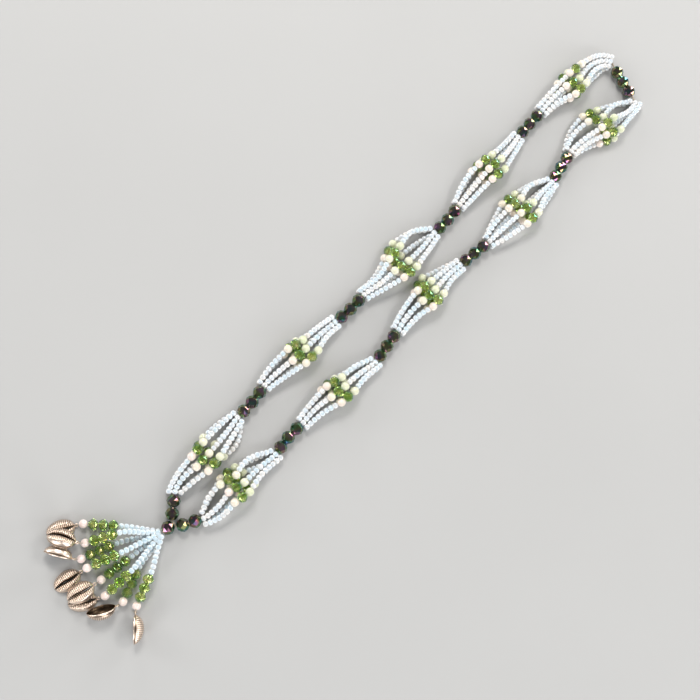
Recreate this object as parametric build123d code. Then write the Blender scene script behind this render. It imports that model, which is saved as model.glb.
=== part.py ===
"""Shell charm bead necklace laid flat: a closed loop of ten bead lanterns and a fringed tassel."""

import math
import os

from build123d import *

# Sizes, mm. The necklace lies on the plane z = 0 with the tassel towards -Y.
seed_d = 4.0
pearl_d = 6.0
crystal_d = 8.0
crystal_len = 6.2
spacer_d = 10.0
spacer_len = 8.5
bead_gap = 0.2
clear = 0.15
crystal_bore = 0.7
spacer_bore = 1.0
rod_d = 1.0
thread_d = 1.2
lantern_pitch = 98.0
fringe_len = 28.4
fringe_stones = 3
fringe_gap = 0.5
charm_len = 19.8
charm_w = 13.8
charm_wall = 1.2
charm_back = 0.5
charm_drop = 1.4
slit_w = 1.2
tooth_w = 0.6
eye_r = 0.95
eye_wire = 0.35
loop_r = 0.8
loop_wire = 0.25
strand_d = seed_d - 0.4
slot_pitch = seed_d
pitch = spacer_len + bead_gap
pearl_off = crystal_len / 2 + pearl_d / 2 + bead_gap
charm_tip = 0.1 - eye_r
charm_rim = charm_drop - charm_back
loop_shift = eye_r + eye_wire - loop_wire - clear

# Dark bead rows: x, y as shares of lantern_pitch, heading, beads, bend. A heading is in
# degrees from +Y towards +X.
ROWS = {
    "leg_a": (-0.069, -1.712, -40, 2, 0),
    "leg_b": (0.088, -1.708, 27, 2, 0),
    "spacer_a1": (-0.219, -0.796, -6, 3, 5),
    "spacer_a2": (-0.214, 0.204, 0, 3, 5),
    "spacer_a3": (-0.194, 1.230, -4, 3, 6),
    "spacer_a4": (-0.291, 2.255, -4, 3, 0),
    "spacer_b1": (0.143, -0.786, -5, 3, -7),
    "spacer_b2": (0.168, 0.209, -10, 3, 0),
    "spacer_b3": (0.128, 1.199, 5, 3, 0),
    "spacer_b4": (0.117, 2.194, -13, 3, 0),
    "spacer_top": (-0.026, 3.071, 104, 3, 3),
    "join_bead": (0.010, -1.835, 4, 1, 0),
}

# Lanterns: row and side at the low end, row and side at the high end, how far the centre
# line keeps to each row's heading, as shares of lantern_pitch, and how many degrees it
# swings off the high row's heading.
LANTERNS = {
    "a1": ("leg_a", 1, "spacer_a1", -1, 0.10, 0.20, 0),
    "a2": ("spacer_a1", 1, "spacer_a2", -1, 0.20, 0.20, 0),
    "a3": ("spacer_a2", 1, "spacer_a3", -1, 0.20, 0.20, 0),
    "a4": ("spacer_a3", 1, "spacer_a4", -1, 0.20, 0.20, 0),
    "a5": ("spacer_a4", 1, "spacer_top", -1, 0.31, 0.18, -42),
    "b1": ("leg_b", 1, "spacer_b1", -1, 0.10, 0.20, 0),
    "b2": ("spacer_b1", 1, "spacer_b2", -1, 0.20, 0.20, 0),
    "b3": ("spacer_b2", 1, "spacer_b3", -1, 0.20, 0.20, 0),
    "b4": ("spacer_b3", 1, "spacer_b4", -1, 0.20, 0.20, 0),
    "b5": ("spacer_b4", 1, "spacer_top", 1, 0.27, 0.18, 46),
}

# Six strands a lantern, three on the table and three over them, each three from left to
# right: across of the low and the high pearl, along of the crystal, bow of the low and
# the high run, all as shares of crystal_d from the middle of the lantern.
STRANDS = {
    "a1": (
        (-0.54, -0.90, 0.15, -0.10, -0.01),
        (0.37, 0.24, 0.35, -0.42, 0.03),
        (1.22, 1.50, 0.10, -0.19, 0.37),
        (-0.56, -0.63, -0.23, -0.06, -0.00),
        (0.34, 0.40, -0.63, -0.31, 0.01),
        (1.34, 1.28, -0.23, -0.27, -0.16),
    ),
    "a2": (
        (-0.65, -0.84, -0.33, 0.01, 0.28),
        (0.18, -0.02, 0.23, 0.03, 0.02),
        (0.90, 1.14, -0.08, -0.09, -0.50),
        (-0.73, -0.51, 0.08, -0.05, -0.07),
        (0.30, 0.27, -0.28, -0.14, -0.15),
        (1.24, 1.08, 0.50, -0.16, -0.40),
    ),
    "a3": (
        (-1.11, -1.67, 0.05, 0.60, -0.15),
        (-0.27, -0.35, -0.15, 0.31, -0.04),
        (0.63, 1.05, 0.23, 0.03, 0.07),
        (-0.76, -1.02, 0.13, 0.59, -0.59),
        (0.38, 0.50, -0.18, 0.09, -0.01),
        (1.38, 1.39, 0.08, -0.15, -0.24),
    ),
    "a4": (
        (-1.08, -0.94, -0.33, 0.26, 0.30),
        (-0.14, -0.00, 0.10, 0.02, -0.00),
        (0.66, 0.95, -0.33, 0.04, 0.07),
        (-1.00, -0.67, 0.30, -0.18, 0.15),
        (-0.02, 0.21, 0.55, 0.03, 0.05),
        (0.84, 1.09, 0.10, -0.09, -0.15),
    ),
    "a5": (
        (-0.61, -0.68, -0.55, 0.23, -0.09),
        (0.42, 0.38, -0.13, -0.15, -0.43),
        (1.22, 1.40, -0.70, -0.42, -0.10),
        (-0.49, -0.43, 0.65, -0.03, -0.14),
        (0.14, 0.52, -0.55, -0.14, -0.43),
        (1.30, 1.27, -0.50, -0.55, -0.50),
    ),
    "b1": (
        (-1.96, -1.88, -0.05, 0.33, 0.31),
        (-0.83, -1.12, 0.20, 0.47, 0.52),
        (0.19, 0.35, 0.30, 0.11, -0.18),
        (-1.58, -1.32, -0.48, -0.06, -0.56),
        (-0.61, -0.37, -0.35, 0.35, -0.09),
        (0.40, 0.56, -0.55, 0.32, -0.44),
    ),
    "b2": (
        (-1.30, -1.39, -0.40, 0.24, 0.10),
        (-0.43, -0.47, 0.18, -0.01, 0.05),
        (0.54, 0.52, 0.33, -0.16, -0.20),
        (-1.27, -1.10, 0.05, 0.15, -0.16),
        (-0.27, -0.28, -0.25, -0.11, -0.15),
        (0.64, 0.57, 0.20, -0.23, -0.37),
    ),
    "b3": (
        (-1.04, -1.49, 0.13, 0.13, 0.33),
        (-0.16, -0.43, 0.05, 0.04, -0.05),
        (0.82, 0.61, -0.10, -0.16, -0.06),
        (-1.00, -0.70, 0.23, -0.01, 0.09),
        (-0.02, 0.09, -0.15, -0.22, -0.13),
        (1.01, 0.90, 0.18, -0.39, -0.36),
    ),
    "b4": (
        (-1.93, -1.85, -0.05, 0.33, 0.03),
        (-0.57, -0.46, 0.13, -0.01, 0.01),
        (0.42, 0.95, 0.30, 0.06, -0.13),
        (-1.22, -1.17, -0.13, -0.01, -0.48),
        (-0.16, -0.11, 0.43, -0.02, -0.10),
        (0.97, 0.89, 0.13, -0.04, -0.51),
    ),
    "b5": (
        (-1.84, -1.70, -0.43, 0.12, 0.00),
        (0.29, 0.37, -0.08, -0.03, -0.21),
        (1.22, 1.41, -0.35, -0.24, -0.59),
        (-1.08, -0.77, -0.48, -0.05, -0.68),
        (0.09, -0.21, 0.18, 0.00, 0.17),
        (0.87, 1.04, 0.33, -0.19, -0.41),
    ),
}
SLOTS = (-1, 0, 1)

# Fringe strands: turn at the knot, turn and reach of the seed run, turn of the crystals,
# height of their first and last end over the table. Turns are in degrees from -Y towards
# +X, reaches are shares of fringe_len, heights shares of crystal_d.
FRINGE = {
    "1": (-54, -52.6, 1.06, -48.0, 0.50, 0.50),
    "2": (-44, -43.3, 1.07, -27.7, 1.44, 0.54),
    "3": (-31, -30.5, 1.18, -20.4, 0.50, 0.50),
    "4": (-19.5, -18.1, 1.13, -20.3, 1.30, 0.80),
    "5": (-7, -6.4, 0.98, -6.4, 0.50, 0.50),
    "6": (6, 6.8, 1.21, -0.5, 1.60, 0.66),
    "7": (15, 12.8, 1.04, 21.3, 0.50, 0.50),
    "8": (30, 30.1, 1.03, 22.8, 1.30, 0.50),
}
UPPER = ("2", "4", "6", "8")
knot_r = 10.0

# Charms: turn, pitch and roll in degrees, height of the lowest point over the table as a
# share of charm_w.
CHARMS = {
    "1": (-27, 3, 0, 0.0),
    "2": (-58, 0, -32, 0.50),
    "3": (-60, 0, -80, 0.0),
    "4": (-10, 3, 0, 0.0),
    "5": (-13, 3, 0, 0.50),
    "6": (-34, 3, 0, 0.0),
    "7": (-29, -8, 114, 0.04),
    "8": (45.5, 0, 83, 0.0),
}


def unit(v):
    n = math.sqrt(sum(c * c for c in v))
    return tuple(c / n for c in v)


def add(p, q, k=1.0):
    return tuple(a + k * b for a, b in zip(p, q))


def lerp(p, q, t):
    return tuple(a + (b - a) * t for a, b in zip(p, q))


def heading(deg):
    return (math.sin(math.radians(deg)), math.cos(math.radians(deg)))


def downward(deg):
    return (math.sin(math.radians(deg)), -math.cos(math.radians(deg)))


def row(name):
    """Bead centres with headings, and the thread's corner points from low to high."""
    share_x, share_y, turn, count, bend = ROWS[name]
    mid = (share_x * lantern_pitch, share_y * lantern_pitch)
    if count == 1:
        ends = [add(mid, heading(turn), s * (spacer_len / 2 + bead_gap)) for s in (-1, 1)]
        return [(mid, turn)], ends
    if count == 2:
        beads = [(add(mid, heading(turn), s * pitch / 2), turn) for s in (-1, 1)]
        ends = [add(mid, heading(turn), s * (pitch + bead_gap / 2)) for s in (-1, 1)]
        return beads, [ends[0], mid, ends[1]]
    low, high = turn + bend, turn - bend
    gaps = [add(mid, heading(turn), s * pitch / 2) for s in (-1, 1)]
    beads = [
        (add(gaps[0], heading(low), -pitch / 2), low),
        (mid, turn),
        (add(gaps[1], heading(high), pitch / 2), high),
    ]
    reach = spacer_len + bead_gap * 1.5
    ends = [add(gaps[0], heading(low), -reach), add(gaps[1], heading(high), reach)]
    return beads, [ends[0], *gaps, ends[1]]


def row_end(name, side):
    """Point and outward direction in plan where a lantern meets a row of dark beads."""
    beads, corners = row(name)
    if side > 0:
        return corners[-1], heading(beads[-1][1])
    return corners[0], tuple(-c for c in heading(beads[0][1]))


def swung_end(name, side, swing):
    """The same where the lantern comes in at an angle, clear of the end bead."""
    point, out = row_end(name, side)
    turn = math.degrees(math.atan2(*out)) + swing
    return add(point, out, 0.6 * spacer_d * math.sin(math.radians(abs(swing)))), heading(turn)


class Path:
    """A lantern's curved centre line in plan."""

    def __init__(self, name):
        low, low_side, high, high_side, low_keep, high_keep, swing = LANTERNS[name]
        p0, out0 = row_end(low, low_side)
        p1, out1 = swung_end(high, high_side, swing)
        self.corners = (
            p0,
            add(p0, out0, low_keep * lantern_pitch),
            add(p1, out1, high_keep * lantern_pitch),
            p1,
        )
        self.reached = [0.0]
        last = p0
        for i in range(1, 201):
            here = self.at(i / 200)[0]
            self.reached.append(self.reached[-1] + math.dist(here, last))
            last = here
        self.length = self.reached[-1]

    def at(self, t):
        """Point and unit direction at the parameter t."""
        a, b, c, d = self.corners
        s = 1 - t
        point = tuple(
            s**3 * p + 3 * s * s * t * q + 3 * s * t * t * r + t**3 * u
            for p, q, r, u in zip(a, b, c, d)
        )
        speed = tuple(
            s * s * (q - p) + 2 * s * t * (r - q) + t * t * (u - r)
            for p, q, r, u in zip(a, b, c, d)
        )
        return point, unit(speed)

    def place(self, along, across):
        """Point in plan: along from the middle, across to the right of the line."""
        want = along + self.length / 2
        k = 0
        while k < 199 and self.reached[k + 1] < want:
            k += 1
        part = (want - self.reached[k]) / (self.reached[k + 1] - self.reached[k])
        point, way = self.at((k + part) / 200)
        return point[0] + across * way[1], point[1] - across * way[0]


def triple(path, strand):
    """A strand's crystal and its low and high pearl in plan, in one straight line."""
    low, high, along = (share * crystal_d for share in strand[:3])
    crystal = path.place(along, (low + high) / 2)
    ends = [path.place(along + s * pearl_off, c) for s, c in ((-1, low), (1, high))]
    way = unit((ends[1][0] - ends[0][0], ends[1][1] - ends[0][1]))
    return crystal, add(crystal, way, -pearl_off), add(crystal, way, pearl_off), way


def rise(under, over):
    """Height of one strand's beads over another's where both stand on the same table."""
    way = under[3]
    most = 0.0
    for p, width, reach in zip(under[:3], (crystal_d, pearl_d, pearl_d), (crystal_len, 0, 0)):
        for q, width2, reach2 in zip(over[:3], (crystal_d, pearl_d, pearl_d), (crystal_len, 0, 0)):
            dx, dy = q[0] - p[0], q[1] - p[1]
            along = abs(dx * way[0] + dy * way[1])
            across = abs(dx * way[1] - dy * way[0])
            need = (width + width2) / 2 + clear
            if reach and reach2:
                if along > crystal_len:
                    continue
                need -= 0.04 * along * crystal_d
                flat = across
            else:
                flat = math.hypot(across, max(0.0, along - (reach + reach2) / 4))
            if flat < need:
                most = max(most, math.sqrt(need * need - flat * flat))
    return most


def strands(name):
    """Every strand's low run, high run, pearls and crystal as points in space."""
    path = Path(name)
    plans = [triple(path, strand) for strand in STRANDS[name]]
    heights = []
    found = []
    half = path.length / 2
    stub = seed_d * 0.6
    for i, (strand, plan) in enumerate(zip(STRANDS[name], plans)):
        z = crystal_d / 2
        if i > 2:
            lifts = [heights[j] + rise(plans[j], plan) for j in range(i)]
            z = max(h for j, h in enumerate(lifts) if h > heights[j] + 0.01 or j < 3)
        heights.append(z)
        z_end = seed_d / 2 + (slot_pitch if i > 2 else 0)
        edge = SLOTS[i % 3] * slot_pitch
        runs = []
        for side, share, bow, pearl in (
            (-1, strand[0], strand[3], plan[1]),
            (1, strand[1], strand[4], plan[2]),
        ):
            across, out = share * crystal_d, bow * crystal_d
            reach = half - side * strand[2] * crystal_d - pearl_off
            first = path.place(side * (half - 0.64 * reach), 0.88 * across + 0.12 * edge + out)
            near = 0.42 * across + 0.58 * edge + 0.6 * out
            second = path.place(side * (half - 0.28 * reach), near)
            end = path.place(side * half, edge)
            face = path.at(1 if side > 0 else 0)[1]
            runs.append(
                [
                    (*pearl, z),
                    (*first, z_end + 0.72 * (z - z_end)),
                    (*second, z_end + 0.2 * (z - z_end)),
                    (*add(end, face, -side * stub), z_end),
                    (*end, z_end),
                ]
            )
        found.append((runs, [(*plan[1], z), (*plan[2], z)], (*plan[0], z), plan[3]))
    return found


def fringe(name):
    """A fringe strand's tube points, crystal centres, pearl centre and direction."""
    start, turn, reach, way, z_first, z_last = FRINGE[name]
    apex = row("join_bead")[1][0]
    z = seed_d / 2 + (slot_pitch if name in UPPER else 0)
    step_len = crystal_len + fringe_gap
    run = fringe_stones * step_len + pearl_d / 2
    fall = (z_last - z_first) * crystal_d / run
    flat = math.sqrt(1 - fall * fall)
    step = (*(c * flat for c in downward(way)), fall)
    end = (*add(apex, downward(turn), reach * fringe_len), z_first * crystal_d)
    out = downward(start)
    tube = [
        (*add(apex, out, knot_r), z),
        (*add(apex, out, knot_r + seed_d), z),
        add(end, step, -seed_d * 1.2),
        end,
    ]
    stations = [fringe_gap + crystal_len / 2 + i * step_len for i in range(fringe_stones)]
    pearl = add(end, step, run + fringe_gap)
    return tube, [add(end, step, s) for s in stations], pearl, step


def roll_pitch_turn(point, name):
    """A point of the charm after its roll about Y, its pitch about X and its turn about Z."""
    turn, tilt, roll = (math.radians(a) for a in CHARMS[name][:3])
    x, y, z = point
    x, z = x * math.cos(roll) + z * math.sin(roll), z * math.cos(roll) - x * math.sin(roll)
    y, z = y * math.cos(tilt) - z * math.sin(tilt), y * math.sin(tilt) + z * math.cos(tilt)
    return x * math.cos(turn) - y * math.sin(turn), x * math.sin(turn) + y * math.cos(turn), z


def charm_skin(name, steps=36):
    """Points of the charm's outside and of its thread loop, turned, the eye at the origin."""
    front, back = 0.46 * charm_len, 0.54 * charm_len
    points = []
    for i in range(steps + 1):
        a = math.pi * i / steps
        radius = charm_w / 2 * math.sin(a)
        y = charm_tip - front + (front if a < math.pi / 2 else back) * math.cos(a)
        if radius < charm_rim:
            continue
        flat = math.sqrt(radius * radius - charm_rim * charm_rim)
        for k in range(steps):
            b = 2 * math.pi * k / steps
            x, z = radius * math.cos(b), radius * math.sin(b)
            if z < charm_rim:
                x, z = math.copysign(flat, x), charm_rim
            points.append((x, y, z - charm_drop))
    for k in range(steps):
        b = 2 * math.pi * k / steps
        reach = loop_r + loop_wire
        points.append((0, loop_shift + reach * math.cos(b), reach * math.sin(b)))
    return [roll_pitch_turn(p, name) for p in points]


def charm_eye(name):
    """Place of a charm's eye, just past the last pearl of its fringe strand."""
    _, _, pearl, step = fringe(name)
    z = CHARMS[name][3] * charm_w - min(p[2] for p in charm_skin(name))
    back = roll_pitch_turn((0, 1, 0), name)
    reach = loop_shift + loop_r
    ahead = unit(add(unit((step[0], step[1])), unit((back[0], back[1])), -1.0))
    tie = add(pearl, (*ahead, 0.0), pearl_d / 2 + bead_gap)
    return tie[0] - back[0] * reach, tie[1] - back[1] * reach, z


def between(start, end, width):
    """Straight rod from one point to another."""
    way = unit(add(end, start, -1.0))
    length = math.dist(start, end)
    plane = Plane(origin=lerp(start, end, 0.5), z_dir=way)
    return plane.location * Cylinder(width / 2, length)


def strung(bead, centre, way):
    """A bead on the strand with a corner of its girdle straight below."""
    plane = Plane(origin=centre, x_dir=(way[1], -way[0], 0), z_dir=way)
    return plane.location * bead


def ball(centre, way, width):
    """Ball whose poles lie on the strand."""
    return Plane(origin=centre, z_dir=way).location * Sphere(width / 2)


def tube(points, width):
    """Round run through the points, its corners eased by arcs."""
    kept = [points[0]]
    turns = []
    for here, after in zip(points[1:-1], points[2:]):
        way_in, way_out = unit(add(here, kept[-1], -1.0)), unit(add(after, here, -1.0))
        turn = math.acos(max(-1.0, min(1.0, sum(a * b for a, b in zip(way_in, way_out)))))
        if turn > math.radians(2):
            kept.append(here)
            turns.append(turn)
    kept.append(points[-1])
    legs = [math.dist(a, b) for a, b in zip(kept, kept[1:])]
    radii = [0.45 * min(a, b) / math.tan(t / 2) for a, b, t in zip(legs, legs[1:], turns)]
    line = FilletPolyline(*kept, radius=radii) if turns else Line(kept[0], kept[-1])
    section = Plane(origin=kept[0], z_dir=unit(add(kept[1], kept[0], -1.0))) * Circle(width / 2)
    return sweep(section, path=line)


def rondelle(width, length, bore):
    """Faceted bead along Z: girdle, crown and a flat table at each end, with a six-sided bore."""

    def ring(share, z, half_step):
        steps = [math.radians(45 * k + 22.5 * half_step) for k in range(8)]
        return [(width / 2 * share * math.cos(a), width / 2 * share * math.sin(a), z) for a in steps]

    table = 0.52
    levels = [
        ring(table, -length / 2, 0),
        ring(0.885, -length / 4, 1),
        ring(1.0, 0, 0),
        ring(0.885, length / 4, 1),
        ring(table, length / 2, 0),
    ]
    faces = [Face(Wire.make_polygon(levels[0])), Face(Wire.make_polygon(levels[4]))]
    for level, (low, high) in enumerate(zip(levels, levels[1:])):
        shift = level % 2
        for k in range(8):
            low_next, high_next = low[(k + 1) % 8], high[(k + 1) % 8]
            if shift:
                faces.append(Face(Wire.make_polygon([low[k], low_next, high_next])))
                faces.append(Face(Wire.make_polygon([low[k], high_next, high[k]])))
            else:
                faces.append(Face(Wire.make_polygon([low[k], low_next, high[k]])))
                faces.append(Face(Wire.make_polygon([low_next, high_next, high[k]])))
    body = Solid(Shell(faces))
    hole = extrude(RegularPolygon(bore, 6, major_radius=False), amount=length, both=True)
    return body - hole


def egg(width, length, wall, steps=14):
    """Egg along -Y from the origin in short cones, its wide part nearer the origin."""
    front, back = 0.46 * length, 0.54 * length
    profile = []
    for i in range(steps + 1):
        a = math.pi * (0.04 + 0.92 * i / steps)
        reach = (front if a < math.pi / 2 else back) - wall
        profile.append(((width / 2 - wall) * math.sin(a), -front + reach * math.cos(a)))
    outline = [(0, profile[0][1]), *profile, (0, profile[-1][1])]
    return revolve(make_face(Polyline(*outline, close=True)), Axis.Y, 360)


def charm():
    """Shell with an open flat back, a toothed slit and a level eye ring about the origin."""
    keep = Pos(0, -charm_len / 2, charm_rim + charm_w) * Box(2 * charm_w, 2 * charm_len, 2 * charm_w)
    shell = egg(charm_w, charm_len, 0) - egg(charm_w, charm_len, charm_wall)
    shell = shell & keep
    slit = Pos(0, -0.5 * charm_len, charm_w / 2) * extrude(
        SlotOverall(0.74 * charm_len, slit_w, rotation=90), amount=charm_w / 2, both=True
    )
    shell = shell - slit
    front = 0.46 * charm_len
    grooves = []
    for k in range(9):
        y = -charm_len * (0.18 + 0.08 * k)
        span = front if y > -front else charm_len - front
        crest = charm_w / 2 * math.sqrt(1 - ((y + front) / span) ** 2)
        groove = Box(0.4 * charm_w, tooth_w, charm_wall)
        grooves.append(Pos(0, y, crest - 0.4 * charm_wall + charm_wall / 2) * groove)
    shell = shell - grooves
    return Pos(0, charm_tip, -charm_drop) * shell + Torus(eye_r, eye_wire)


def placed_charm(name, body):
    """The charm turned as it lies and its eye's place, past the end of its fringe strand."""
    turn, tilt, roll, _ = CHARMS[name]
    turned = Rot(0, 0, turn) * Rot(tilt, 0, 0) * Rot(0, roll, 0)
    eye = charm_eye(name)
    return Pos(*eye) * turned * body, eye, turned, roll_pitch_turn((0, 1, 0), name)


def strand_loop(eye, turned, back, pearl):
    """Thread loop linked through a charm's eye, with its tie to the strand's last pearl."""
    centre = add(eye, back, loop_shift)
    ring = Pos(*centre) * turned * Rot(0, 90, 0) * Torus(loop_r, loop_wire)
    return ring + between(add(centre, back, loop_r), pearl, loop_wire * 2)


parts = {}
dark = rondelle(spacer_d, spacer_len, spacer_bore)
green = rondelle(crystal_d, crystal_len, crystal_bore)
for name in ROWS:
    beads, corners = row(name)
    parts[name] = [
        strung(dark, (*centre, spacer_d / 2), (*heading(turn), 0))
        for centre, turn in beads
    ]
for name in LANTERNS:
    runs_made = []
    crystals = []
    for (low, high), pearls, crystal, way in strands(name):
        way3 = (*way, 0.0)
        runs_made.append(
            tube(low, strand_d).fuse(
                tube(high, strand_d),
                ball(pearls[0], way3, pearl_d),
                ball(pearls[1], way3, pearl_d),
                between(pearls[0], pearls[1], rod_d),
            )
        )
        crystals.append(strung(green, crystal, way3))
    parts["lantern_" + name] = runs_made
    parts["crystals_" + name] = crystals

level = spacer_d / 2
join_top = row("join_bead")[1][1]
meeting = (*add(join_top, heading(ROWS["join_bead"][2]), thread_d / 2), level)
cords = []
for name in ROWS:
    corners = [(*c, level) for c in row(name)[1]]
    if name in ("leg_a", "leg_b"):
        corners = [meeting, *corners]
    elif name == "join_bead":
        corners = [*corners, meeting]
    elif name == "spacer_top":
        swung = [swung_end(name, side, LANTERNS[n][6])[0] for n, side in (("a5", -1), ("b5", 1))]
        ties = [lerp(c, (*s, level), 0.85) for c, s in zip((corners[0], corners[-1]), swung)]
        corners = [ties[0], *corners, ties[1]]
    rods = [between(a, b, thread_d) for a, b in zip(corners, corners[1:])]
    knots = [Pos(*c) * Sphere(thread_d / 2) for c in corners[1:-1]]
    cords.append((name, rods + knots))
thread = []
tied = [piece for name, pieces in cords if name in ("leg_a", "leg_b", "join_bead") for piece in pieces]
thread.append(tied[0].fuse(*tied[1:]))
for name, pieces in cords:
    if name not in ("leg_a", "leg_b", "join_bead"):
        thread.append(pieces[0].fuse(*pieces[1:]))
parts["thread"] = thread

apex = row("join_bead")[1][0]
stems = []
for name, (start, *_rest) in FRINGE.items():
    z = seed_d / 2 + (slot_pitch if name in UPPER else 0)
    out = downward(start)
    first, last = add(apex, out, 0.3 * knot_r), add(apex, out, knot_r - bead_gap)
    stems.append(between((*first, z), (*last, z), strand_d))
centre = add(apex, downward(0), 0.35 * knot_r)
heart = Pos(*centre, seed_d) * Cylinder(seed_d * 0.75, seed_d * 1.7)
parts["knot"] = [heart.fuse(*stems)]

shell = charm()
for name in FRINGE:
    points, crystals, pearl, step = fringe(name)
    lying, eye, turned, back = placed_charm(name, shell)
    pieces = [
        ball(pearl, step, pearl_d),
        between(points[-1], pearl, rod_d),
        strand_loop(eye, turned, back, pearl),
    ]
    parts["fringe_" + name] = [tube(points, strand_d).fuse(*pieces)]
    parts["fringe_crystals_" + name] = [strung(green, centre, step) for centre in crystals]
    parts["charm_" + name] = [lying]

corners = []
for name, solids in parts.items():
    if name.startswith("charm"):
        eye = charm_eye(name[6:])
        corners += [add(p, eye) for p in charm_skin(name[6:], 90)]
        continue
    for solid in solids:
        box = solid.bounding_box()
        corners += [tuple(box.min), tuple(box.max)]
low = [min(c[i] for c in corners) for i in range(3)]
high = [max(c[i] for c in corners) for i in range(3)]
home = Pos(-(low[0] + high[0]) / 2, -(low[1] + high[1]) / 2, -low[2])
os.makedirs("parts", exist_ok=True)
for name, solids in parts.items():
    export_step(Compound(children=[home * solid for solid in solids]), f"parts/{name}.step")
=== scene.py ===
"""Looks of the shell charm necklace: strung seed beads, pearls, crystals and cast shell charms."""

import math
import random

import bmesh
import bpy
from mathutils import Matrix, Vector


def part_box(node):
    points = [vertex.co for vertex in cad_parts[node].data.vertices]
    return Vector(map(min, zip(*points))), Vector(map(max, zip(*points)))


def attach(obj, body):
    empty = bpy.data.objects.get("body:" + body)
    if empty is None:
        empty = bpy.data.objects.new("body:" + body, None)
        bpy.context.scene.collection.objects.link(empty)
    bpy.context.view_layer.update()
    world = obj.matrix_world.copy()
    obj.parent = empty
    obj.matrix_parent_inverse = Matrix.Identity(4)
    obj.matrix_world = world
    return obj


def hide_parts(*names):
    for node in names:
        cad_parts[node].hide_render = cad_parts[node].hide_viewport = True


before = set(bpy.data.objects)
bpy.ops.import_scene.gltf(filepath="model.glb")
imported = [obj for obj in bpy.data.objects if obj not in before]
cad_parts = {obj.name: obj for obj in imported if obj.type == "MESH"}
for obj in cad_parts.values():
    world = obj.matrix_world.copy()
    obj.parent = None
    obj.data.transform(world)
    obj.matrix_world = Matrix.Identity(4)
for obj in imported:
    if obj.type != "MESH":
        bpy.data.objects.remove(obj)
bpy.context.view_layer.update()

# Sizes, mm, and the route of every strand, worked out as the solids' own source does it. The
# necklace lies on the plane z = 0 with the tassel towards -Y.
seed_d = 4.0
pearl_d = 6.0
crystal_d = 8.0
crystal_len = 6.2
spacer_d = 10.0
spacer_len = 8.5
bead_gap = 0.2
clear = 0.15
lantern_pitch = 98.0
fringe_len = 28.4
fringe_stones = 3
fringe_gap = 0.5
charm_len = 19.8
charm_w = 13.8
charm_back = 0.5
charm_drop = 1.4
eye_r = 0.95
eye_wire = 0.35
loop_r = 0.8
loop_wire = 0.25
slot_pitch = seed_d
pitch = spacer_len + bead_gap
pearl_off = crystal_len / 2 + pearl_d / 2 + bead_gap
charm_tip = 0.1 - eye_r
charm_rim = charm_drop - charm_back
loop_shift = eye_r + eye_wire - loop_wire - clear
charm_front = 0.46  # share of the charm's length from its eye end to its widest place
bead_taper = 0.04  # how much a crystal narrows along its hole, as a share of its width
swing_out = 0.6  # how far a swung lantern end moves off its row, as a share of spacer_d
PATH_STEPS = 200
BEADS = ((crystal_d, crystal_len), (pearl_d, 0), (pearl_d, 0))

# Dark bead rows: x, y as shares of lantern_pitch, heading, beads, bend. A heading is in
# degrees from +Y towards +X.
ROWS = {
    "leg_a": (-0.069, -1.712, -40, 2, 0),
    "leg_b": (0.088, -1.708, 27, 2, 0),
    "spacer_a1": (-0.219, -0.796, -6, 3, 5),
    "spacer_a2": (-0.214, 0.204, 0, 3, 5),
    "spacer_a3": (-0.194, 1.230, -4, 3, 6),
    "spacer_a4": (-0.291, 2.255, -4, 3, 0),
    "spacer_b1": (0.143, -0.786, -5, 3, -7),
    "spacer_b2": (0.168, 0.209, -10, 3, 0),
    "spacer_b3": (0.128, 1.199, 5, 3, 0),
    "spacer_b4": (0.117, 2.194, -13, 3, 0),
    "spacer_top": (-0.026, 3.071, 104, 3, 3),
    "join_bead": (0.010, -1.835, 4, 1, 0),
}

# Lanterns: row and side at the low end, row and side at the high end, how far the centre
# line keeps to each row's heading, as shares of lantern_pitch, and how many degrees it
# swings off the high row's heading.
LANTERNS = {
    "a1": ("leg_a", 1, "spacer_a1", -1, 0.10, 0.20, 0),
    "a2": ("spacer_a1", 1, "spacer_a2", -1, 0.20, 0.20, 0),
    "a3": ("spacer_a2", 1, "spacer_a3", -1, 0.20, 0.20, 0),
    "a4": ("spacer_a3", 1, "spacer_a4", -1, 0.20, 0.20, 0),
    "a5": ("spacer_a4", 1, "spacer_top", -1, 0.31, 0.18, -42),
    "b1": ("leg_b", 1, "spacer_b1", -1, 0.10, 0.20, 0),
    "b2": ("spacer_b1", 1, "spacer_b2", -1, 0.20, 0.20, 0),
    "b3": ("spacer_b2", 1, "spacer_b3", -1, 0.20, 0.20, 0),
    "b4": ("spacer_b3", 1, "spacer_b4", -1, 0.20, 0.20, 0),
    "b5": ("spacer_b4", 1, "spacer_top", 1, 0.27, 0.18, 46),
}

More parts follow.
